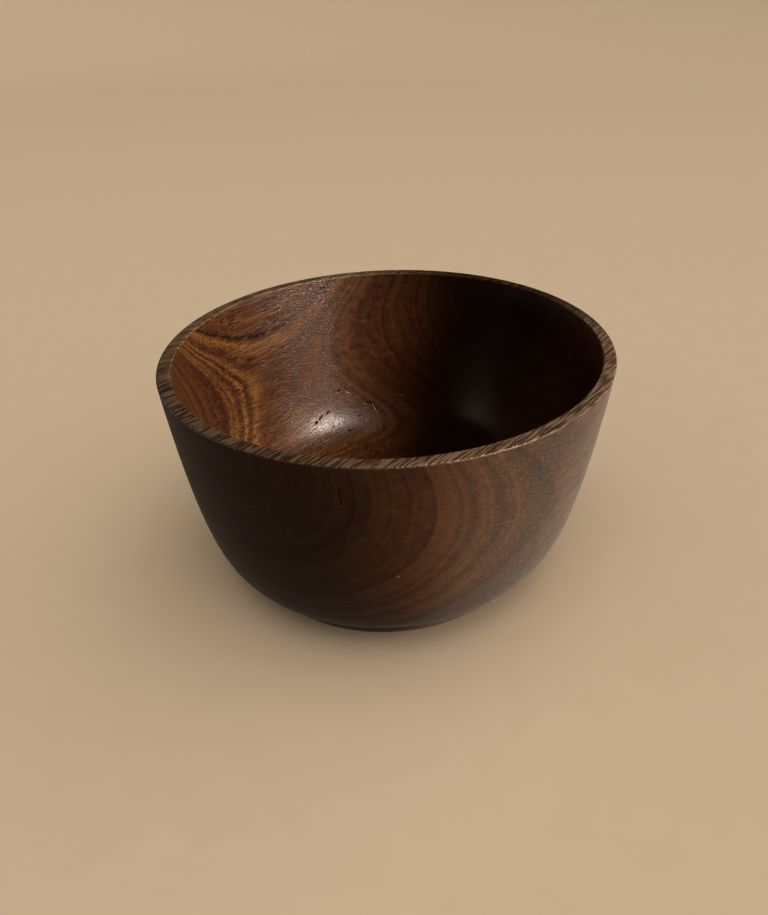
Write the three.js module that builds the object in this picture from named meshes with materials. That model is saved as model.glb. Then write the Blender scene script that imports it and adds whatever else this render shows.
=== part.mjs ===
// A turned wooden bowl: one block of teak, hollowed and shaped on a lathe, with a flat-topped rim
// and a low foot. Millimetres, +Z up. The grain runs along X. The origin is the middle of the foot,
// on the surface that the bowl stands on.
import * as THREE from 'three';

const DEGREE = Math.PI / 180;

// Overall sizes. The rim is measured along the grain.
const rimDiameter = 200;
const height = 104;
// Wood shrinks across the grain as it dries, so the turned circle has become slightly oval.
const crossGrainShrinkage = 0.05;

// Rim: a flat ring with its two edges sanded soft.
const rimWidth = 6;
const rimEdgeRadius = 0.9;

// Foot: a low band that flares up to the wall, and a ring to stand on round a shallow hollow.
const footDiameter = 140;
const footBandHeight = 7;
const footBandFlare = 2.5;
const footEdgeRadius = 0.8;
const footRingWidth = 18;
const hollowDepth = 1.6;
const hollowStep = 2.4;

// Wall: the angles that each face leaves its two ends at, from the horizontal at the foot and from
// the vertical at the rim, and how far each angle carries along it, as shares of the wall's rise.
const outerFootAngle = 40 * DEGREE;
const outerFootReach = 0.115;
const outerRimLean = 5.6 * DEGREE;
const outerRimReach = 0.97;
const floorThickness = 12;
const innerRimLean = 9.5 * DEGREE;
const innerRimReach = 0.98;
// The inside's floor is drawn level from the axis to this far past the top of the foot band.
const floorSpread = 17;

// Steps of the faceted solid: round the bowl, along each face of the wall, and round an edge.
const turnSteps = 72;
const wallSteps = 20;
const edgeSteps = 4;

const rimRadius = rimDiameter / 2;
const footRadius = footDiameter / 2;
const footTop = new THREE.Vector2(footRadius + footBandFlare, footBandHeight);

// Each curve is drawn in the plane of the lathe cut: x is the distance from the axis, y the height.
const point = (x, y) => new THREE.Vector2(x, y);

function arc(centre, radius, start, end) {
  return new THREE.EllipseCurve(centre.x, centre.y, radius, radius, start, end).getPoints(edgeSteps);
}

// The hollow under the foot, from the axis to the ring that the bowl stands on.
function footHollow() {
  const hollowRadius = footRadius - footRingWidth;
  return [
    point(0, hollowDepth),
    point(hollowRadius - hollowStep, hollowDepth),
    point(hollowRadius, 0),
  ];
}

// The foot's lower edge, rounded between the flat ring and the flaring band.
function footEdge() {
  const bandAngle = Math.atan2(footBandHeight, footBandFlare);
  const setback = footEdgeRadius * Math.tan(bandAngle / 2);
  const centre = point(footRadius - setback, footEdgeRadius);
  return arc(centre, footEdgeRadius, -90 * DEGREE, bandAngle - 90 * DEGREE);
}

// The outside: from the top of the foot band to the start of the rim's outer edge.
const outerEdgeCentre = point(rimRadius - rimEdgeRadius, height - rimEdgeRadius);

function outerWall() {
  const rise = height - footBandHeight;
  const alongFoot = point(Math.cos(outerFootAngle), Math.sin(outerFootAngle));
  const alongRim = point(Math.sin(outerRimLean), Math.cos(outerRimLean));
  const offFace = point(Math.cos(outerRimLean), -Math.sin(outerRimLean));
  const top = outerEdgeCentre.clone().addScaledVector(offFace, rimEdgeRadius);
  return new THREE.CubicBezierCurve(
    footTop,
    footTop.clone().addScaledVector(alongFoot, outerFootReach * rise),
    top.clone().addScaledVector(alongRim, -outerRimReach * rise),
    top,
  ).getPoints(wallSteps);
}

// The inside: from the end of the rim's inner edge down to the middle of the floor.
const innerEdgeCentre = point(rimRadius - rimWidth + rimEdgeRadius, height - rimEdgeRadius);

function innerWall() {
  const depth = height - floorThickness;
  const alongRim = point(Math.sin(innerRimLean), Math.cos(innerRimLean));
  const offFace = point(-Math.cos(innerRimLean), Math.sin(innerRimLean));
  const top = innerEdgeCentre.clone().addScaledVector(offFace, rimEdgeRadius);
  return new THREE.CubicBezierCurve(
    top,
    top.clone().addScaledVector(alongRim, -innerRimReach * depth),
    point(footTop.x + floorSpread, floorThickness),
    point(0, floorThickness),
  ).getPoints(wallSteps);
}

// The whole cut, from the axis under the foot, out and up, over the rim and down to the floor.
function latheCut() {
  return [
    ...footHollow(),
    ...footEdge(),
    ...outerWall(),
    ...arc(outerEdgeCentre, rimEdgeRadius, -outerRimLean, 90 * DEGREE).slice(1),
    ...arc(innerEdgeCentre, rimEdgeRadius, 90 * DEGREE, 180 * DEGREE - innerRimLean),
    ...innerWall().slice(1),
  ];
}

function bowl() {
  const geometry = new THREE.LatheGeometry(latheCut(), turnSteps);
  geometry.rotateX(90 * DEGREE);
  geometry.scale(1, 1 - crossGrainShrinkage, 1);
  const oiledTeak = new THREE.MeshStandardMaterial({
    color: 0x5e3b22,
    roughness: 0.42,
    metalness: 0,
  });
  const mesh = new THREE.Mesh(geometry, oiledTeak);
  mesh.name = 'bowl';
  return mesh;
}

const group = new THREE.Group();
group.add(bowl());

export default group;
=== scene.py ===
import math

import bpy
from mathutils import Matrix, Vector


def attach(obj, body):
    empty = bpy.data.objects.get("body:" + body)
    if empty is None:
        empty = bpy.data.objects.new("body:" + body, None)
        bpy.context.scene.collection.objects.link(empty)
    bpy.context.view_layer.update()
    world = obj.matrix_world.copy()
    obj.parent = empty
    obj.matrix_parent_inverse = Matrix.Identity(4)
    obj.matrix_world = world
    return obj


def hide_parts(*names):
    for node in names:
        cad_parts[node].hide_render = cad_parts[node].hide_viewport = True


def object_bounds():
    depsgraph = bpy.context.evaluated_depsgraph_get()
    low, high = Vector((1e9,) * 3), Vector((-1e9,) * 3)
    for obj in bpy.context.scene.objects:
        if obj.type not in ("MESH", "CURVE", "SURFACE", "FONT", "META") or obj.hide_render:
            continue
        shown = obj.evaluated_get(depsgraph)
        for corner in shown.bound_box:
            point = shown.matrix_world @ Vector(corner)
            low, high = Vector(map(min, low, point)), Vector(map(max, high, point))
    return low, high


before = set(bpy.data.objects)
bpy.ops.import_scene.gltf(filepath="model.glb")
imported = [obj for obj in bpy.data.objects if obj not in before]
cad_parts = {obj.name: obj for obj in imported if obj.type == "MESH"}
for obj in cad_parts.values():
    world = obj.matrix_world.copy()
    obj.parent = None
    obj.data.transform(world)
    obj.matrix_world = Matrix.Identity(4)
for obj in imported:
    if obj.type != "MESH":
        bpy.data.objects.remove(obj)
cad_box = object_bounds()

# ---------------------------------------------------------------------------------------------
# The camera. A fairly wide lens held 350 mm from the bowl's middle, a little above it, between the
# grain's end and its side. It looks down into the bowl, and is tipped slightly to one side. Its
# place, tilt and lens were fitted by a separate program.
low, high = cad_box
bowl_middle = (low + high) / 2
sensor_width_mm = 36.0
focal_length_mm = 29.67
camera_distance = 0.3544
camera_azimuth = math.radians(-51.57)
camera_elevation = math.radians(31.64)
camera_roll = math.radians(-0.76)

lens = bpy.data.cameras.new("camera")
lens.sensor_width = sensor_width_mm
lens.lens = focal_length_mm
lens.shift_x = -0.0071
lens.shift_y = -0.0133
lens.clip_start = 0.01
lens.clip_end = 20.0
camera = bpy.data.objects.new("camera", lens)
bpy.context.scene.collection.objects.link(camera)

camera_back = Vector((
    math.sin(camera_azimuth) * math.cos(camera_elevation),
    -math.cos(camera_azimuth) * math.cos(camera_elevation),
    math.sin(camera_elevation),
))
level_right = Vector((math.cos(camera_azimuth), math.sin(camera_azimuth), 0.0))
level_up = camera_back.cross(level_right)
camera_right = level_right * math.cos(camera_roll) + level_up * math.sin(camera_roll)
camera_up = level_up * math.cos(camera_roll) - level_right * math.sin(camera_roll)
turned = Matrix((camera_right, camera_up, camera_back)).transposed().to_4x4()
camera.matrix_world = Matrix.Translation(bowl_middle + camera_back * camera_distance) @ turned
bpy.context.scene.camera = camera

# ---------------------------------------------------------------------------------------------
# The floor. A sheet of pale, matt backdrop paper that lies flat under the bowl and curves up into
# a tall wall all round, so that no edge of it shows from any side.
def linear(hex_colour):
    """An sRGB hex colour as the linear colour with alpha that a shader socket takes."""
    channels = [int(hex_colour[i:i + 2], 16) / 255 for i in (1, 3, 5)]
    return [c / 12.92 if c <= 0.04045 else ((c + 0.055) / 1.055) ** 2.4 for c in channels] + [1.0]


def add_node(tree, kind, inputs=None, **settings):
    """Adds one node. Settings are its own, and inputs are its sockets: a value, or another socket."""
    node = tree.nodes.new(kind)
    for name, value in settings.items():
        setattr(node, name, value)
    for socket, value in (inputs or {}).items():
        if isinstance(value, bpy.types.NodeSocket):
            tree.links.new(value, node.inputs[socket])
        else:
            node.inputs[socket].default_value = value
    return node


flat_radius = 2.0
cove_radius = 1.2
wall_height = 3.4
paper_sides = 128
cove_steps = 24

cut = [(flat_radius * share, 0.0) for share in (0.1, 0.3, 0.6, 1.0)]
for step in range(1, cove_steps + 1):
    turn = math.radians(90) * step / cove_steps
    cut.append((flat_radius + cove_radius * math.sin(turn), cove_radius * (1 - math.cos(turn))))
cut.append((flat_radius + cove_radius, wall_height))

corners = [(0.0, 0.0, 0.0)]
for radius, rise in cut:
    for side in range(paper_sides):
        angle = math.tau * side / paper_sides
        corners.append((radius * math.cos(angle), radius * math.sin(angle), rise))
faces = [(0, 1 + side, 1 + (side + 1) % paper_sides) for side in range(paper_sides)]
for ring in range(len(cut) - 1):
    inner = 1 + ring * paper_sides
    outer = inner + paper_sides
    for side in range(paper_sides):
        beside = (side + 1) % paper_sides
        faces.append((inner + side, outer + side, outer + beside, inner + beside))
paper_mesh = bpy.data.meshes.new("backdrop_paper")
paper_mesh.from_pydata(corners, [], faces)
paper_mesh.shade_smooth()
backdrop = bpy.data.objects.new("backdrop_paper", paper_mesh)
bpy.context.scene.collection.objects.link(backdrop)

# Uncoated paper: matt, with the faint cloudiness of its pulp.
pulp_size = 0.015
paper = bpy.data.materials.new("Matt backdrop paper")
paper.use_nodes = True
tree = paper.node_tree
tree.nodes.clear()
place = add_node(tree, "ShaderNodeTexCoord").outputs["Object"]
pulp = add_node(tree, "ShaderNodeTexNoise", {"Vector": place, "Scale": 1 / pulp_size, "Detail": 3.0})
paper_tone = add_node(
    tree, "ShaderNodeMix",
    {0: pulp.outputs["Fac"], 6: linear("#DAC2A3"), 7: linear("#DFC7A9")},
    data_type="RGBA",
).outputs[2]
paper_finish = add_node(
    tree, "ShaderNodeBsdfPrincipled",
    {"Base Color": paper_tone, "Roughness": 0.9, "Specular IOR Level": 0.2},
)
add_node(tree, "ShaderNodeOutputMaterial", {"Surface": paper_finish.outputs[0]})
paper_mesh.materials.append(paper)

# The paper's wall lets the lamps' light through. The bowl doesn't see the paper: it sees the room.
backdrop.visible_diffuse = False
backdrop.visible_glossy = False
backdrop.visible_shadow = False


# ---------------------------------------------------------------------------------------------
# The light. The bowl has three softboxes: a key that lights the wood but isn't seen in its gloss, a
# smaller one beside it that is seen only there, and a low strip behind. The paper has its own broad
# light, from one softbox above and two very wide lamps, so that it stays pale and its shadow faint.
def lit_alone(lamp_object, thing):
    """Makes a light fall on one object only. Everything else still casts its shadow."""
    lit = bpy.data.collections.new(lamp_object.name + "_lights")
    lit.objects.link(thing)
    lamp_object.light_linking.receiver_collection = lit


def softbox(name, azimuth, elevation, distance, width, depth, watts, colour):
    """An area light that looks at the bowl from a compass angle round it, in degrees from +X."""
    lamp = bpy.data.lights.new(name, "AREA")
    lamp.shape = "RECTANGLE"
    lamp.size = width
    lamp.size_y = depth
    lamp.energy = watts
    lamp.color = linear(colour)[:3]
    stand = bpy.data.objects.new(name, lamp)
    bpy.context.scene.collection.objects.link(stand)
    turn, lift = math.radians(azimuth), math.radians(elevation)
    toward = Vector((
        math.cos(turn) * math.cos(lift),
        math.sin(turn) * math.cos(lift),
        math.sin(lift),
    ))
    stand.location = bowl_middle + toward * distance
    stand.rotation_euler = toward.to_track_quat("Z", "Y").to_euler()
    return stand


key = softbox("softbox_key", -71, 35, 1.25, 0.6, 0.5, 15.0, "#FFF6E8")
key.visible_glossy = False
gloss = softbox("softbox_gloss", -83, 30, 1.3, 0.36, 0.42, 18.5, "#FBEEE2")
gloss.visible_diffuse = False
strip = softbox("strip_behind", 118, 3, 1.1, 1.3, 0.16, 1.6, "#F4F1EA")

wide_lamp_angle = math.radians(100)
paper_lights = [softbox("paper_light_above", -141, 76, 2.6, 2.2, 2.2, 14.0, "#FFFBF4")]
for name, elevation, azimuth, strength in (
    ("paper_light_right", 50, -62, 1.8),
    ("paper_light_behind", 42, 150, 0.76),
):
    wash = bpy.data.lights.new(name, "SUN")
    wash.energy = strength
    wash.angle = wide_lamp_angle
    wash.color = linear("#FFF8EE")[:3]
    stand = bpy.data.objects.new(name, wash)
    bpy.context.scene.collection.objects.link(stand)
    stand.rotation_euler = (0.0, math.radians(90 - elevation), math.radians(azimuth))
    paper_lights.append(stand)

# The room is dim above. Below the rim's level the bowl sees the table, bright on the lit side.
room = bpy.data.worlds.new("dim room")
bpy.context.scene.world = room
room.use_nodes = True
tree = room.node_tree
tree.nodes.clear()
look = add_node(tree, "ShaderNodeTexCoord").outputs["Generated"]
lit_side = math.radians(-37)
toward_lit = add_node(
    tree, "ShaderNodeVectorMath", {0: look, 1: (math.cos(lit_side), math.sin(lit_side), 0.0)},
    operation="DOT_PRODUCT",
).outputs[1]
table_glow = add_node(
    tree, "ShaderNodeMapRange", {0: toward_lit, 1: 0.05, 2: 0.6, 3: 0.085, 4: 0.45},
    interpolation_type="SMOOTHSTEP",
).outputs[0]
look_height = add_node(tree, "ShaderNodeSeparateXYZ", {0: look}).outputs[2]
below = add_node(
    tree, "ShaderNodeMapRange", {0: look_height, 1: 0.16, 2: 0.04, 3: 0.0, 4: 1.0},
).outputs[0]
ceiling_glow = 0.015
glow = add_node(
    tree, "ShaderNodeMix", {0: below, 2: ceiling_glow, 3: table_glow}, data_type="FLOAT",
).outputs[0]
sky = add_node(tree, "ShaderNodeBackground", {"Color": linear("#F2DDC0"), "Strength": glow})
add_node(tree, "ShaderNodeOutputWorld", {"Surface": sky.outputs[0]})
bpy.context.scene.view_settings.view_transform = "Standard"


# ---------------------------------------------------------------------------------------------
# The bowl. One block of teak, its grain along X, turned on a lathe inside and out, then sanded
# and oiled. As it dried it shrank across the grain, so the turned circle is now a slight oval.
rim_radius = (high.x - low.x) / 2
bowl_height = high.z - low.z
across_grain = (high.y - low.y) / (high.x - low.x)
rim_width = 0.006
rim_edge = 0.0009
foot_radius = 0.070
foot_band_height = 0.007
foot_band_flare = 0.0025
foot_edge = 0.0008
foot_ring_width = 0.018
hollow_depth = 0.0016
hollow_step = 0.0024
floor_thickness = 0.012
floor_spread = 0.017

# How each face of the wall sets off from its ends: the angle, and how far that angle carries.
outer_rise = bowl_height - foot_band_height
inner_rise = bowl_height - floor_thickness
outer_foot_angle = math.radians(40)
outer_rim_lean = math.radians(5.6)
inner_rim_lean = math.radians(9.5)
outer_foot_pull = Vector((math.cos(outer_foot_angle), math.sin(outer_foot_angle), 0)) * 0.115 * outer_rise
outer_rim_pull = Vector((math.sin(outer_rim_lean), math.cos(outer_rim_lean), 0)) * -0.97 * outer_rise
inner_rim_pull = Vector((math.sin(inner_rim_lean), math.cos(inner_rim_lean), 0)) * -0.98 * inner_rise

lathe = bpy.data.node_groups.new("Turned bowl", "GeometryNodeTree")
lathe.interface.new_socket("Geometry", in_out="INPUT", socket_type="NodeSocketGeometry")
lathe.interface.new_socket("Geometry", in_out="OUTPUT", socket_type="NodeSocketGeometry")

bowl_sizes = {
    "Rim Radius": rim_radius,
    "Height": bowl_height,
    "Across Grain": across_grain,
    "Rim Width": rim_width,
    "Rim Edge": rim_edge,
    "Foot Radius": foot_radius,
    "Foot Band Height": foot_band_height,
    "Foot Band Flare": foot_band_flare,
    "Foot Edge": foot_edge,
    "Foot Ring Width": foot_ring_width,
    "Hollow Depth": hollow_depth,
    "Hollow Step": hollow_step,
    "Floor Thickness": floor_thickness,
    "Floor Spread": floor_spread,
    "Outer Foot Pull": outer_foot_pull,
    "Outer Rim Pull": outer_rim_pull,
    "Inner Rim Pull": inner_rim_pull,
    "Wall Step": 0.00125,
    "Edge Step": 0.0003,
    "Turn Steps": 320,
    "Sanding Depth": -0.00012,
    "Seed": 4,
    "Wood": None,
}
socket_kinds = {float: "NodeSocketFloat", int: "NodeSocketInt", Vector: "NodeSocketVector"}
size_sockets = {}
for name, value in bowl_sizes.items():
    kind = socket_kinds.get(type(value), "NodeSocketMaterial")
    size_sockets[name] = lathe.interface.new_socket(name, in_out="INPUT", socket_type=kind)

size = add_node(lathe, "NodeGroupInput").outputs

# The foot: a shallow hollow, the ring that the bowl stands on, and a low band that flares.
ring_inside = add_node(
    lathe, "ShaderNodeMath", {0: size["Foot Radius"], 1: size["Foot Ring Width"]}, operation="SUBTRACT",
).outputs[0]
hollow_radius = add_node(
    lathe, "ShaderNodeMath", {0: ring_inside, 1: size["Hollow Step"]}, operation="SUBTRACT",
).outputs[0]
ring_outside = add_node(
    lathe, "ShaderNodeMath", {0: size["Foot Radius"], 1: size["Foot Edge"]}, operation="SUBTRACT",
).outputs[0]
band_radius = add_node(
    lathe, "ShaderNodeMath", {0: size["Foot Radius"], 1: size["Foot Band Flare"]}, operation="ADD",
).outputs[0]
edge_share = add_node(
    lathe, "ShaderNodeMath", {0: size["Foot Edge"], 1: size["Foot Band Height"]}, operation="DIVIDE",
).outputs[0]

# The rim: flat on top, with both edges sanded round.
rim_under = add_node(
    lathe, "ShaderNodeMath", {0: size["Height"], 1: size["Rim Edge"]}, operation="SUBTRACT",
).outputs[0]
rim_outside = add_node(
    lathe, "ShaderNodeMath", {0: size["Rim Radius"], 1: size["Rim Edge"]}, operation="SUBTRACT",
).outputs[0]
mouth_radius = add_node(
    lathe, "ShaderNodeMath", {0: size["Rim Radius"], 1: size["Rim Width"]}, operation="SUBTRACT",
).outputs[0]
rim_inside = add_node(
    lathe, "ShaderNodeMath", {0: mouth_radius, 1: size["Rim Edge"]}, operation="ADD",
).outputs[0]
floor_radius = add_node(
    lathe, "ShaderNodeMath", {0: band_radius, 1: size["Floor Spread"]}, operation="ADD",
).outputs[0]

# The corners of the lathe cut, each by its distance from the axis and its height.
corner_places = {
    "hollow middle": (0.0, size["Hollow Depth"]),
    "hollow edge": (hollow_radius, size["Hollow Depth"]),
    "ring inside": (ring_inside, 0.0),
    "ring outside": (ring_outside, 0.0),
    "foot corner": (size["Foot Radius"], 0.0),
    "band top": (band_radius, size["Foot Band Height"]),
    "wall outside": (size["Rim Radius"], rim_under),
    "outer corner": (size["Rim Radius"], size["Height"]),
    "rim outside": (rim_outside, size["Height"]),
    "rim inside": (rim_inside, size["Height"]),
    "inner corner": (mouth_radius, size["Height"]),
    "wall inside": (mouth_radius, rim_under),
    "floor reach": (floor_radius, size["Floor Thickness"]),
    "floor middle": (0.0, size["Floor Thickness"]),
}
at = {}
for name, (across, up) in corner_places.items():
    at[name] = add_node(lathe, "ShaderNodeCombineXYZ", {0: across, 1: up}).outputs[0]
at["band start"] = add_node(
    lathe, "ShaderNodeMix", {0: edge_share, 4: at["foot corner"], 5: at["band top"]}, data_type="VECTOR",
).outputs[1]
for name, start, pull in (
    ("outer foot handle", "band top", "Outer Foot Pull"),
    ("outer rim handle", "wall outside", "Outer Rim Pull"),
    ("inner rim handle", "wall inside", "Inner Rim Pull"),
):
    at[name] = add_node(
        lathe, "ShaderNodeVectorMath", {0: at[start], 1: size[pull]}, operation="ADD",
    ).outputs[0]

# Each stretch of the cut: its start, its one or two handles if it is curved, its end, and its step.
stretches = [
    ("hollow middle", "hollow edge", "Wall Step"),
    ("hollow edge", "ring inside", "Edge Step"),
    ("ring inside", "ring outside", "Wall Step"),
    ("ring outside", "foot corner", "band start", "Edge Step"),
    ("band start", "band top", "Wall Step"),
    ("band top", "outer foot handle", "outer rim handle", "wall outside", "Wall Step"),
    ("wall outside", "outer corner", "rim outside", "Edge Step"),
    ("rim outside", "rim inside", "Wall Step"),
    ("rim inside", "inner corner", "wall inside", "Edge Step"),
    ("wall inside", "inner rim handle", "floor reach", "floor middle", "Wall Step"),
]
edge_points = 24
face_points = 200
cut_line = add_node(lathe, "GeometryNodeJoinGeometry")
for *stops, step_name in stretches:
    points = [at[stop] for stop in stops]
    if len(stops) == 2:
        stretch = add_node(lathe, "GeometryNodeCurvePrimitiveLine", {"Start": points[0], "End": points[1]})
    elif len(stops) == 3:
        stretch = add_node(
            lathe, "GeometryNodeCurveQuadraticBezier",
            {"Start": points[0], "Middle": points[1], "End": points[2], "Resolution": edge_points},
        )
    else:
        stretch = add_node(
            lathe, "GeometryNodeCurvePrimitiveBezierSegment",
            {"Start": points[0], "Start Handle": points[1], "End Handle": points[2], "End": points[3],
             "Resolution": face_points},
        )
    stepped = add_node(
        lathe, "GeometryNodeResampleCurve",
        {"Curve": stretch.outputs[0], "Length": size[step_name]},
        mode="LENGTH",
    )
    lathe.links.new(stepped.outputs[0], cut_line.inputs[0])

# The lathe turns the cut round a circle as wide as the rim, so the cut is first moved in by that.
inward = add_node(
    lathe, "ShaderNodeVectorMath", {0: at["wall outside"], 1: (-1.0, 0.0, 0.0)}, operation="MULTIPLY",
)
cut_at_tool = add_node(
    lathe, "GeometryNodeTransform",
    {"Geometry": cut_line.outputs[0], "Translation": inward.outputs[0]},
)
turning_path = add_node(
    lathe, "GeometryNodeCurvePrimitiveCircle",
    {"Resolution": size["Turn Steps"], "Radius": size["Rim Radius"]},
)
level_path = add_node(lathe, "GeometryNodeSetCurveNormal", {"Curve": turning_path.outputs[0]}, mode="Z_UP")
turned_faces = add_node(
    lathe, "GeometryNodeCurveToMesh",
    {"Curve": level_path.outputs[0], "Profile Curve": cut_at_tool.outputs[0]},
)
weld_distance = 0.00002
closed = add_node(
    lathe, "GeometryNodeMergeByDistance",
    {"Geometry": turned_faces.outputs[0], "Distance": weld_distance},
)

# It comes off the lathe upside down, is turned the right way up, and shrinks across the grain.
shrunk = add_node(lathe, "ShaderNodeCombineXYZ", {0: 1.0, 1: size["Across Grain"], 2: 1.0})
dried = add_node(
    lathe, "GeometryNodeTransform",
    {"Geometry": closed.outputs[0], "Rotation": (math.pi, 0.0, 0.0), "Scale": shrunk.outputs[0]},
)

# Sanding by hand leaves the faces very slightly uneven, in patches.
sanding_patch = 0.03
spot = add_node(lathe, "GeometryNodeInputPosition")
uneven = add_node(
    lathe, "ShaderNodeTexNoise",
    {"Vector": spot.outputs[0], "W": size["Seed"], "Scale": 1 / sanding_patch, "Detail": 1.0},
    noise_dimensions="4D",
)
sanded_depth = add_node(
    lathe, "ShaderNodeMath", {0: uneven.outputs[0], 1: size["Sanding Depth"]}, operation="MULTIPLY",
)
outward = add_node(lathe, "GeometryNodeInputNormal")
sanded_off = add_node(
    lathe, "ShaderNodeVectorMath", {0: outward.outputs[0], 3: sanded_depth.outputs[0]}, operation="SCALE",
)
sanded = add_node(
    lathe, "GeometryNodeSetPosition", {"Geometry": dried.outputs[0], "Offset": sanded_off.outputs[0]},
)
finished = add_node(
    lathe, "GeometryNodeSetMaterial", {"Geometry": sanded.outputs[0], "Material": size["Wood"]},
)
whole = add_node(lathe, "GeometryNodeRealizeInstances", {"Geometry": finished.outputs[0]})
add_node(lathe, "NodeGroupOutput", {0: whole.outputs[0]})

# The wood. Teak's growth rings are 3 to 5 mm apart, each a pale porous line with darker, denser
# wood outside it. Oil deepens the brown to a warm, low sheen and makes the pores read as dashes.
# The tree's heart ran along X, just under the rim, and dipped in the middle of the block.
wood = bpy.data.materials.new("Oiled teak, turned and sanded")
wood.use_nodes = True
tree = wood.node_tree
tree.nodes.clear()
space = add_node(tree, "ShaderNodeTexCoord")
mm = add_node(
    tree, "ShaderNodeVectorMath", {0: space.outputs["Object"], 3: 1000.0}, operation="SCALE",
).outputs[0]
along = add_node(tree, "ShaderNodeSeparateXYZ", {0: mm}).outputs[0]
along_squared = add_node(tree, "ShaderNodeMath", {0: along, 1: along}, operation="MULTIPLY").outputs[0]

# The heart's line: where it crosses the bowl's middle, how it slopes, and how it bows. These, and
# the shape of the rings round it, were fitted by a separate program.
heart_middle = (0.0, 12.4, 84.2)
heart_slope = (0.0, -0.067, 0.065)
heart_bow = (0.0, -0.00179, 0.00253)
heart_bend = add_node(
    tree, "ShaderNodeVectorMath", {0: heart_bow, 1: along_squared, 2: heart_middle},
    operation="MULTIPLY_ADD",
).outputs[0]
heart = add_node(
    tree, "ShaderNodeVectorMath", {0: heart_slope, 1: along, 2: heart_bend},
    operation="MULTIPLY_ADD",
).outputs[0]
section = add_node(
    tree, "ShaderNodeVectorMath", {0: mm, 1: (0.0, 1.0, 1.0)}, operation="MULTIPLY",
).outputs[0]
off_heart = add_node(tree, "ShaderNodeVectorMath", {0: section, 1: heart}, operation="SUBTRACT").outputs[0]
round_ring = add_node(tree, "ShaderNodeVectorMath", {0: off_heart}, operation="LENGTH").outputs[1]

# The rings are wider on one side of the heart than the other, and a little oval.
one_sided = add_node(
    tree, "ShaderNodeVectorMath", {0: off_heart, 1: (0.0, 0.277, 0.151)}, operation="DOT_PRODUCT",
).outputs[1]
oval_y = add_node(
    tree, "ShaderNodeVectorMath", {0: off_heart, 1: (0.0, -0.039, 0.042)}, operation="DOT_PRODUCT",
).outputs[1]
oval_z = add_node(
    tree, "ShaderNodeVectorMath", {0: off_heart, 1: (0.0, 0.042, 0.039)}, operation="DOT_PRODUCT",
).outputs[1]
oval_pair = add_node(tree, "ShaderNodeCombineXYZ", {1: oval_y, 2: oval_z}).outputs[0]
oval = add_node(
    tree, "ShaderNodeVectorMath", {0: off_heart, 1: oval_pair}, operation="DOT_PRODUCT",
).outputs[1]
oval_share = add_node(tree, "ShaderNodeMath", {0: oval, 1: round_ring}, operation="DIVIDE").outputs[0]
lopsided = add_node(tree, "ShaderNodeMath", {0: round_ring, 1: one_sided}, operation="ADD").outputs[0]
true_ring = add_node(tree, "ShaderNodeMath", {0: lopsided, 1: oval_share}, operation="ADD").outputs[0]

# Waves in the rings, long along the grain: broad ones of 30 mm, and finer ones of 9 mm.
ring_place = true_ring
for length, across, reach in ((120, 30, 0.5), (30, 9, 0.7)):
    wavy = add_node(
        tree, "ShaderNodeMapping", {"Vector": mm, "Scale": (1 / length, 1 / across, 1 / across)},
        vector_type="POINT",
    ).outputs[0]
    wave = add_node(
        tree, "ShaderNodeTexNoise", {"Vector": wavy, "Scale": 1.0, "Detail": 2.0, "Roughness": 0.5},
    ).outputs["Fac"]
    wave_mm = add_node(
        tree, "ShaderNodeMapRange", {0: wave, 1: 0.0, 2: 1.0, 3: -reach, 4: reach}, clamp=False,
    ).outputs[0]
    ring_place = add_node(tree, "ShaderNodeMath", {0: ring_place, 1: wave_mm}, operation="ADD").outputs[0]

# One year's growth: a pale line of large pores, then plain wood that darkens to a thin dark edge.
year_width = 4.2
year_start = 90.0
widths = add_node(
    tree, "ShaderNodeTexNoise", {"W": ring_place, "Scale": 1 / 11, "Detail": 1.0}, noise_dimensions="1D",
).outputs["Fac"]
year_raw = add_node(
    tree, "ShaderNodeMapRange",
    {0: ring_place, 1: year_start, 2: year_start + year_width, 3: 0.0, 4: 1.0},
    clamp=False,
).outputs[0]
year = add_node(
    tree, "ShaderNodeMath", {0: widths, 1: 0.9, 2: year_raw}, operation="MULTIPLY_ADD",
).outputs[0]
season = add_node(tree, "ShaderNodeMath", {0: year}, operation="FRACT").outputs[0]
year_number = add_node(tree, "ShaderNodeMath", {0: year}, operation="FLOOR").outputs[0]
year_strength = add_node(
    tree, "ShaderNodeTexWhiteNoise", {"W": year_number}, noise_dimensions="1D",
).outputs["Value"]
season_tones = (
    (0.0, 0.5), (0.05, 0.8), (0.12, 0.74), (0.24, 0.54),
    (0.7, 0.46), (0.9, 0.14), (0.97, 0.24), (1.0, 0.5),
)
# The years that this tree grew well or badly, by their distance from its heart in millimetres.
# Most of the distances were read off by a separate program. The tones were chosen one by one.
lean_years = (
    (33, 0.5), (40, 0.42), (45, 0.55), (50, 0.42), (54, 0.45), (57.8, 0.6),
    (59.4, 0.5), (60.8, 0.3), (62.8, 0.62), (65.2, 0.3), (66.4, 0.6), (70.4, 0.32),
    (72.5, 0.5), (77.8, 0.28), (79, 0.36), (79.8, 0.82), (80.4, 0.4), (81, 0.8),
    (82.5, 0.28), (83.3, 0.92), (84.1, 0.12), (84.9, 0.86), (86.3, 0.36), (88.6, 0.5),
    (90.2, 0.85), (91.3, 0.5), (92.1, 0.08), (92.9, 0.38), (96.3, 0.55), (98, 0.45),
)
year_span = 100.0
ring_share = add_node(
    tree, "ShaderNodeMath", {0: ring_place, 1: year_span}, operation="DIVIDE",
).outputs[0]
ramps = []
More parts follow.
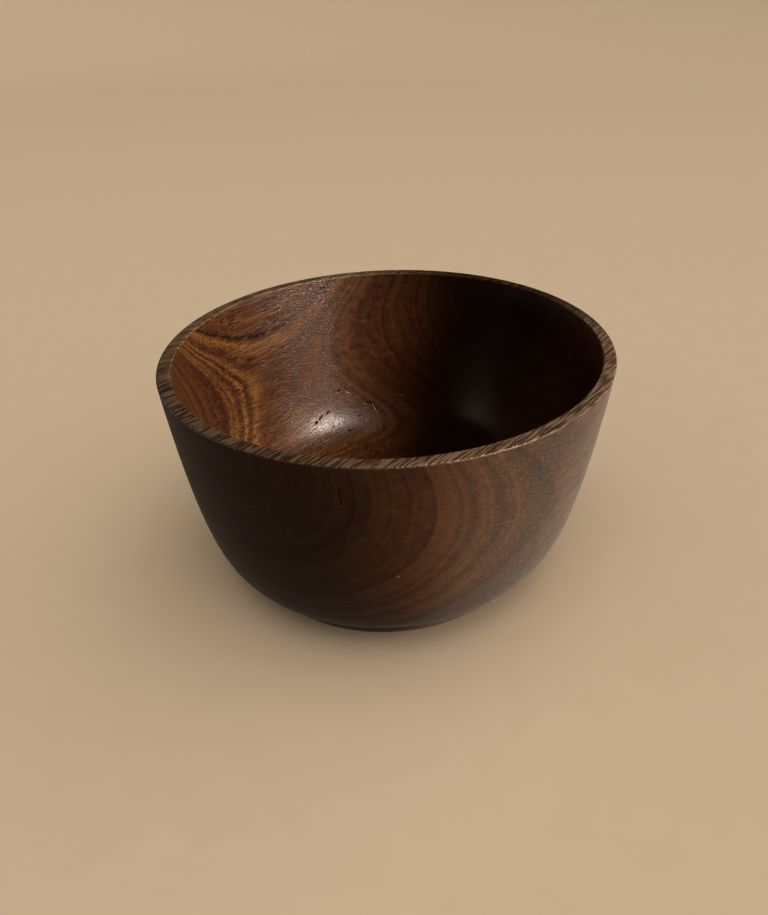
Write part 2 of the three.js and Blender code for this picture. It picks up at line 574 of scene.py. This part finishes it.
for source, tones in (
    (season, season_tones),
    (ring_share, [(distance / year_span, tone) for distance, tone in lean_years]),
):
    ramp = add_node(tree, "ShaderNodeValToRGB", {0: source})
    stops = ramp.color_ramp.elements
    stops.remove(stops[1])
    stops[0].position = tones[0][0]
    for position, tone in tones[1:]:
        stops.new(position)
    for stop, (position, tone) in zip(stops, tones):
        stop.color = (tone, tone, tone, 1.0)
    ramps.append(ramp.outputs[0])
season_tone, lean_tone = ramps

# Runs of wetter and drier years make broad bands. Streaks, fibres and the rest run along the grain,
# each by its length and thickness in millimetres and how ragged it is.
runs_of_years = add_node(
    tree, "ShaderNodeTexNoise", {"W": ring_place, "Scale": 1 / 13, "Detail": 3.0, "Roughness": 0.65},
    noise_dimensions="1D",
).outputs["Fac"]
grain_noises = []
for length, thickness, detail in (
    (60, 3.2, 3.0), (7, 0.6, 2.0), (9, 0.85, 1.0), (5, 0.5, 0.0), (28, 0.6, 1.0),
):
    stretched = add_node(
        tree, "ShaderNodeMapping", {"Vector": mm, "Scale": (1 / length, 1 / thickness, 1 / thickness)},
        vector_type="POINT",
    ).outputs[0]
    grain_noises.append(add_node(
        tree, "ShaderNodeTexNoise",
        {"Vector": stretched, "Scale": 1.0, "Detail": detail, "Roughness": 0.6},
    ).outputs["Fac"])
streaks, fibres, strokes, pore_noise, vessel_noise = grain_noises
clouds = add_node(
    tree, "ShaderNodeTexNoise", {"Vector": mm, "Scale": 1 / 42, "Detail": 2.0},
).outputs["Fac"]

# Cut across, at the two ends of the bowl, the fibres are too fine to see.
end_on = add_node(tree, "ShaderNodeSeparateXYZ", {0: space.outputs["Normal"]}).outputs[0]
end_grain = add_node(tree, "ShaderNodeMath", {0: end_on}, operation="ABSOLUTE").outputs[0]
side_grain = add_node(
    tree, "ShaderNodeMapRange", {0: end_grain, 1: 0.75, 2: 0.25, 3: 0.12, 4: 1.0},
    interpolation_type="SMOOTHSTEP",
).outputs[0]
shown_fibres = add_node(
    tree, "ShaderNodeMix", {0: side_grain, 2: 0.5, 3: fibres}, data_type="FLOAT",
).outputs[0]
strong_year = add_node(
    tree, "ShaderNodeMapRange", {0: year_strength, 1: 0.0, 2: 1.0, 3: 0.1, 4: 0.42},
).outputs[0]
season_part = add_node(
    tree, "ShaderNodeMath", {0: season_tone, 1: 0.5}, operation="SUBTRACT",
).outputs[0]
tone = add_node(
    tree, "ShaderNodeMath", {0: season_part, 1: strong_year, 2: 0.5}, operation="MULTIPLY_ADD",
).outputs[0]
# The bands are plainer on the far side, toward the root end of the block.
band_weight = add_node(
    tree, "ShaderNodeMapRange", {0: along, 1: -25.0, 2: 45.0, 3: 0.9, 4: 0.35},
    interpolation_type="SMOOTHSTEP",
).outputs[0]
for source, weight in (
    (lean_tone, band_weight), (runs_of_years, 0.25), (streaks, 0.4), (shown_fibres, 0.4), (clouds, 0.35),
):
    part = add_node(tree, "ShaderNodeMath", {0: source, 1: 0.5}, operation="SUBTRACT").outputs[0]
    tone = add_node(
        tree, "ShaderNodeMath", {0: part, 1: weight, 2: tone}, operation="MULTIPLY_ADD",
    ).outputs[0]

wood_ramp = add_node(tree, "ShaderNodeValToRGB", {0: tone})
stops = wood_ramp.color_ramp.elements
stops.remove(stops[1])
wood_tones = (
    (0.05, "#250F05"),
    (0.3, "#4A2310"),
    (0.48, "#683A1B"),
    (0.64, "#7E4A22"),
    (0.8, "#94602D"),
    (1.0, "#B58649"),
)
stops[0].position = wood_tones[0][0]
for position, hex_colour in wood_tones[1:]:
    stops.new(position)
for stop, (position, hex_colour) in zip(stops, wood_tones):
    stop.color = linear(hex_colour)

# Pores: dark dashes 5 mm long, drawn 0.5 mm wide where real ones are 0.2, so that they show. Where
# the vessels run along the surface they join into long thin lines, dark ones and pale ones. Each
# kind has where its noise opens, how strong and how deep it is, and its colour.
pored = wood_ramp.outputs[0]
marks_depth = 0.0
for noise, open_from, open_to, strength, depth, hex_colour in (
    (pore_noise, 0.6, 0.7, 0.45, 1.0, "#1E0D05"),
    (vessel_noise, 0.56, 0.64, 0.8, 0.4, "#241208"),
    (vessel_noise, 0.41, 0.33, 0.32, 0.0, "#B08552"),
):
    opened = add_node(
        tree, "ShaderNodeMapRange", {0: noise, 1: open_from, 2: open_to, 3: 0.0, 4: strength},
        interpolation_type="SMOOTHSTEP",
    ).outputs[0]
    opened = add_node(tree, "ShaderNodeMath", {0: opened, 1: side_grain}, operation="MULTIPLY").outputs[0]
    pored = add_node(
        tree, "ShaderNodeMix", {0: opened, 6: pored, 7: linear(hex_colour)}, data_type="RGBA",
    ).outputs[2]
    marks_depth = add_node(
        tree, "ShaderNodeMath", {0: opened, 1: depth, 2: marks_depth}, operation="MULTIPLY_ADD",
    ).outputs[0]

# Faults: hairline cracks and pits by a knot in the floor, dark with old oil, and a few pale chips.
# Each runs from one place to another, in millimetres, and has half its width there and its colour.
# The places were read off by a separate program, and then rounded to half a millimetre. The edges
# wander by up to 1 mm.
wander = 2.2
uneven_edge = add_node(
    tree, "ShaderNodeTexNoise", {"Vector": mm, "Scale": 1 / 2.5, "Detail": 1.0},
).outputs["Color"]
edge_shift = add_node(
    tree, "ShaderNodeVectorMath", {0: uneven_edge, 1: (0.5, 0.5, 0.5)}, operation="SUBTRACT",
).outputs[0]
by_fault = add_node(
    tree, "ShaderNodeVectorMath", {0: edge_shift, 1: (wander, wander, wander), 2: mm},
    operation="MULTIPLY_ADD",
).outputs[0]
faults = (
    ((23, 71, 29), (33, 69.5, 32.5), 0.6, "#150B06"),
    ((25.5, 71, 28), (27.5, 70, 32.5), 0.4, "#150B06"),
    ((40, 69.5, 42), (43.5, 68, 43), 0.5, "#1A0E07"),
    ((43.5, 68, 43), (46.5, 65, 40), 0.5, "#1A0E07"),
    ((51.5, 59, 34), (54.5, 56, 32.5), 0.8, "#120905"),
    ((54.5, 56, 32.5), (55, 52, 28), 0.6, "#120905"),
    ((37, 59.5, 22), (38.5, 58.5, 22), 0.8, "#100804"),
    ((45.5, 59, 27), (46.5, 58.5, 27), 0.6, "#150B06"),
    ((67, 44.5, 36.5), (68, 42, 35), 0.5, "#A89078"),
    ((62.5, 48.5, 34), (63, 47.5, 34), 0.5, "#8C7460"),
    ((-86.5, -46, 94.5), (-86, -46.5, 91), 0.4, "#140A05"),
    ((-86, -46.5, 91), (-85.5, -46, 87.5), 0.45, "#140A05"),
    ((-86, -45, 87), (-85, -47, 86), 0.4, "#8A6E55"),
    ((-70, -58.5, 52.5), (-69.5, -59, 51.5), 0.6, "#C9A36B"),
)
faulted = pored
fault_open = 0.0
for start, end, half_width, hex_colour in faults:
    run = Vector(end) - Vector(start)
    from_start = add_node(
        tree, "ShaderNodeVectorMath", {0: by_fault, 1: start}, operation="SUBTRACT",
    ).outputs[0]
    share = add_node(
        tree, "ShaderNodeVectorMath", {0: from_start, 1: run / run.length_squared},
        operation="DOT_PRODUCT",
    ).outputs[1]
    held = add_node(tree, "ShaderNodeClamp", {0: share}).outputs[0]
    nearest = add_node(tree, "ShaderNodeVectorMath", {0: run, 3: held}, operation="SCALE").outputs[0]
    gap = add_node(
        tree, "ShaderNodeVectorMath", {0: from_start, 1: nearest}, operation="DISTANCE",
    ).outputs[1]
    opened = add_node(
        tree, "ShaderNodeMapRange", {0: gap, 1: half_width, 2: half_width * 0.3, 3: 0.0, 4: 0.9},
    ).outputs[0]
    faulted = add_node(
        tree, "ShaderNodeMix", {0: opened, 6: faulted, 7: linear(hex_colour)}, data_type="RGBA",
    ).outputs[2]
    fault_open = add_node(
        tree, "ShaderNodeMath", {0: opened, 1: fault_open}, operation="MAXIMUM",
    ).outputs[0]

# At the two ends of the grain the open fibres have drunk more oil, and the wall is darker. The darkening
# is also painted shade for the sides turned from the lamps: a little at the -X end, and very much at the
# +X end, where the inside wall and the rim stand in shade. Each end has where this starts along the grain,
# where it is complete, and how much light is then left.
sides = add_node(tree, "ShaderNodeSeparateXYZ", {0: mm})
soak_and_shade = 1.0
for start, end, darkest in ((-45.0, -98.0, 0.58), (56.0, 94.0, 0.17)):
    end_soak_and_shade = add_node(
        tree, "ShaderNodeMapRange", {0: sides.outputs[0], 1: start, 2: end, 3: 1.0, 4: darkest},
        interpolation_type="SMOOTHSTEP",
    ).outputs[0]
    soak_and_shade = add_node(tree, "ShaderNodeMath", {0: end_soak_and_shade, 1: soak_and_shade}, operation="MULTIPLY").outputs[0]

# The rim is handled and washed the most, so its oil has gone and it is paler, greyer and dry. The sander
# left the cut ends of the rings on it as fine ridges that run along the grain, coloured with painted light
# on their tops and painted shade between them.
bare = add_node(
    tree, "ShaderNodeMapRange", {0: sides.outputs[2], 1: 102.9, 2: 103.8, 3: 0.0, 4: 1.0},
    interpolation_type="SMOOTHSTEP",
).outputs[0]
ridge = add_node(
    tree, "ShaderNodeMapRange", {0: strokes, 1: 0.42, 2: 0.57, 3: 0.0, 4: 1.0},
    interpolation_type="SMOOTHSTEP",
).outputs[0]
# The ridges' colour, dark between them and pale along their tops, is painted shade and painted light over
# their bump.
dry_tone_and_ridge_shading = add_node(
    tree, "ShaderNodeMix", {0: ridge, 6: linear("#4A3422"), 7: linear("#AE9070")}, data_type="RGBA",
).outputs[2]
dry_wood_and_ridge_shading = add_node(
    tree, "ShaderNodeMix", {0: 0.65, 6: faulted, 7: dry_tone_and_ridge_shading}, data_type="RGBA",
).outputs[2]
rimmed = add_node(tree, "ShaderNodeMix", {0: bare, 6: faulted, 7: dry_wood_and_ridge_shading}, data_type="RGBA").outputs[2]
# The base colour is darkened at the two ends by the oil soak and by painted shade.
soaked_and_shaded_colour = add_node(
    tree, "ShaderNodeVectorMath", {0: rimmed, 3: soak_and_shade}, operation="SCALE",
).outputs[0]

worn = add_node(
    tree, "ShaderNodeMapRange", {0: streaks, 1: 0.3, 2: 0.7, 3: 0.26, 4: 0.44},
).outputs[0]
roughness = add_node(tree, "ShaderNodeMapRange", {0: bare, 1: 0.0, 2: 1.0, 3: worn, 4: 0.65}).outputs[0]
cut_depth = add_node(
    tree, "ShaderNodeMath", {0: fault_open, 1: 1.5, 2: marks_depth}, operation="MULTIPLY_ADD",
).outputs[0]

# The film of oil is whole on sound wood, missing over a fault, and soaked away at the two ends, where the
# painted shade dulls it too.
sound_wood = add_node(
    tree, "ShaderNodeMapRange", {0: fault_open, 1: 0.0, 2: 0.7, 3: 1.0, 4: 0.0},
).outputs[0]
sheen = add_node(tree, "ShaderNodeMath", {0: sound_wood, 1: soak_and_shade}, operation="MULTIPLY").outputs[0]
oil_film = add_node(tree, "ShaderNodeMath", {0: sheen, 1: 0.8}, operation="MULTIPLY").outputs[0]
wood_shine = add_node(tree, "ShaderNodeMath", {0: sheen, 1: 0.5}, operation="MULTIPLY").outputs[0]
relief = add_node(tree, "ShaderNodeMath", {0: shown_fibres, 1: cut_depth}, operation="SUBTRACT").outputs[0]
rim_relief = add_node(
    tree, "ShaderNodeMath", {0: ridge, 1: bare, 2: relief}, operation="MULTIPLY_ADD",
).outputs[0]
grain_depth = 0.0003
bump = add_node(
    tree, "ShaderNodeBump", {"Height": rim_relief, "Strength": 0.38, "Distance": grain_depth},
)
oiled = add_node(
    tree, "ShaderNodeBsdfPrincipled",
    {"Base Color": soaked_and_shaded_colour, "Roughness": roughness, "IOR": 1.5, "Normal": bump.outputs[0],
     "Specular IOR Level": wood_shine, "Coat Weight": oil_film, "Coat Roughness": 0.24,
     "Coat IOR": 1.5, "Coat Normal": bump.outputs[0]},
)
add_node(tree, "ShaderNodeOutputMaterial", {"Surface": oiled.outputs[0]})
bowl_sizes["Wood"] = wood

# The finished bowl, taken off the lathe as a plain mesh.
blank = bpy.data.objects.new("teak_blank", bpy.data.meshes.new("teak_blank"))
bpy.context.scene.collection.objects.link(blank)
turning = blank.modifiers.new("turning", "NODES")
turning.node_group = lathe
for name, value in bowl_sizes.items():
    turning[size_sockets[name].identifier] = value
ready = blank.evaluated_get(bpy.context.evaluated_depsgraph_get())
bowl_mesh = bpy.data.meshes.new_from_object(ready)
blank.modifiers.remove(turning)
bpy.data.objects.remove(blank)
bowl_mesh.name = "turned_bowl"
bowl_mesh.shade_smooth()
bowl = bpy.data.objects.new("turned_bowl", bowl_mesh)
bpy.context.scene.collection.objects.link(bowl)

for lamp in (key, gloss, strip):
    lit_alone(lamp, bowl)
for lamp in paper_lights:
    lit_alone(lamp, backdrop)

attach(bowl, "root")
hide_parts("bowl")
